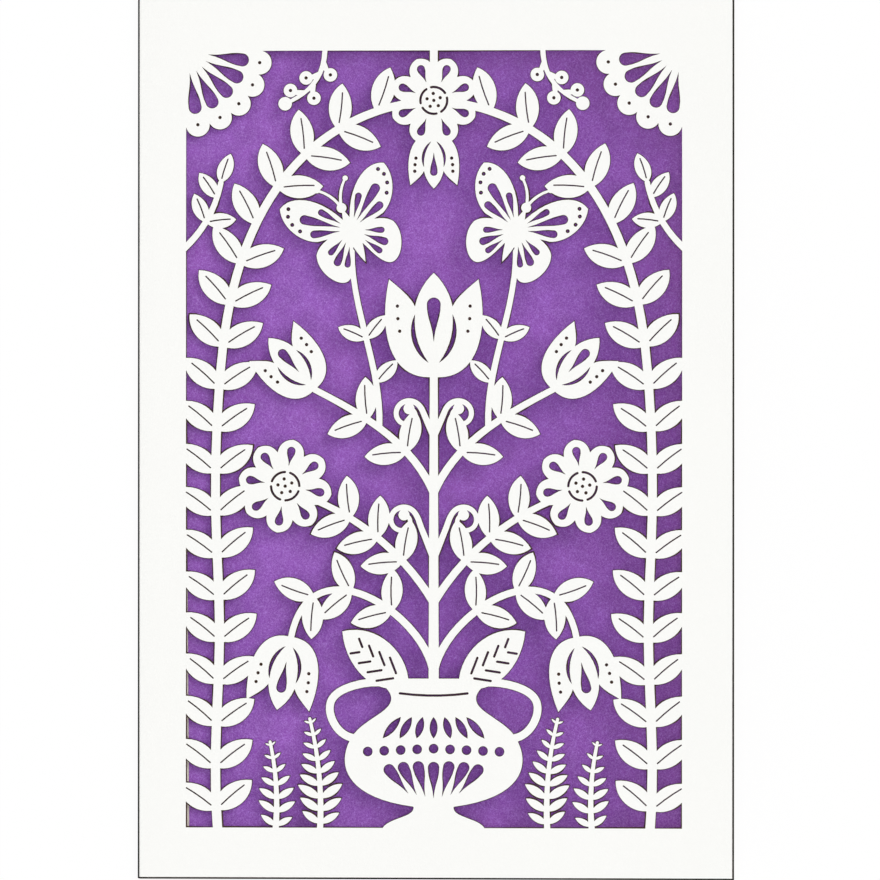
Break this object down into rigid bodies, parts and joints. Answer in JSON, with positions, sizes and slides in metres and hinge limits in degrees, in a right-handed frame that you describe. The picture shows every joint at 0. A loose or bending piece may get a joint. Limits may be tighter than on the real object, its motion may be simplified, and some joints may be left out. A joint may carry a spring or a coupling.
{
  "type": "laser cut greeting card",
  "caption": "Folded white card with a cut-out lace of flowers, leaves and butterflies in its front, over a purple paper backing sheet.",
  "frame": {"origin": "on the table, under the middle of the closed card", "axes": "+X from the fold to the free edge, +Y to the head of the card, +Z out of its front"},
  "size_m": [0.12, 0.178, 0.0109],
  "materials": {
    "white_card": "uncoated, slightly toothed card",
    "purple_paper": "purple paper with a fine fibrous mottle and a faint sheen",
    "adhesive": "dry, clear paper adhesive"
  },
  "bodies": {
    "root": {"folded_card": "white_card", "purple_sheet": "purple_paper", "glue_strip_fold_side": "adhesive", "glue_strip_free_side": "adhesive"}
  },
  "joints": []
}
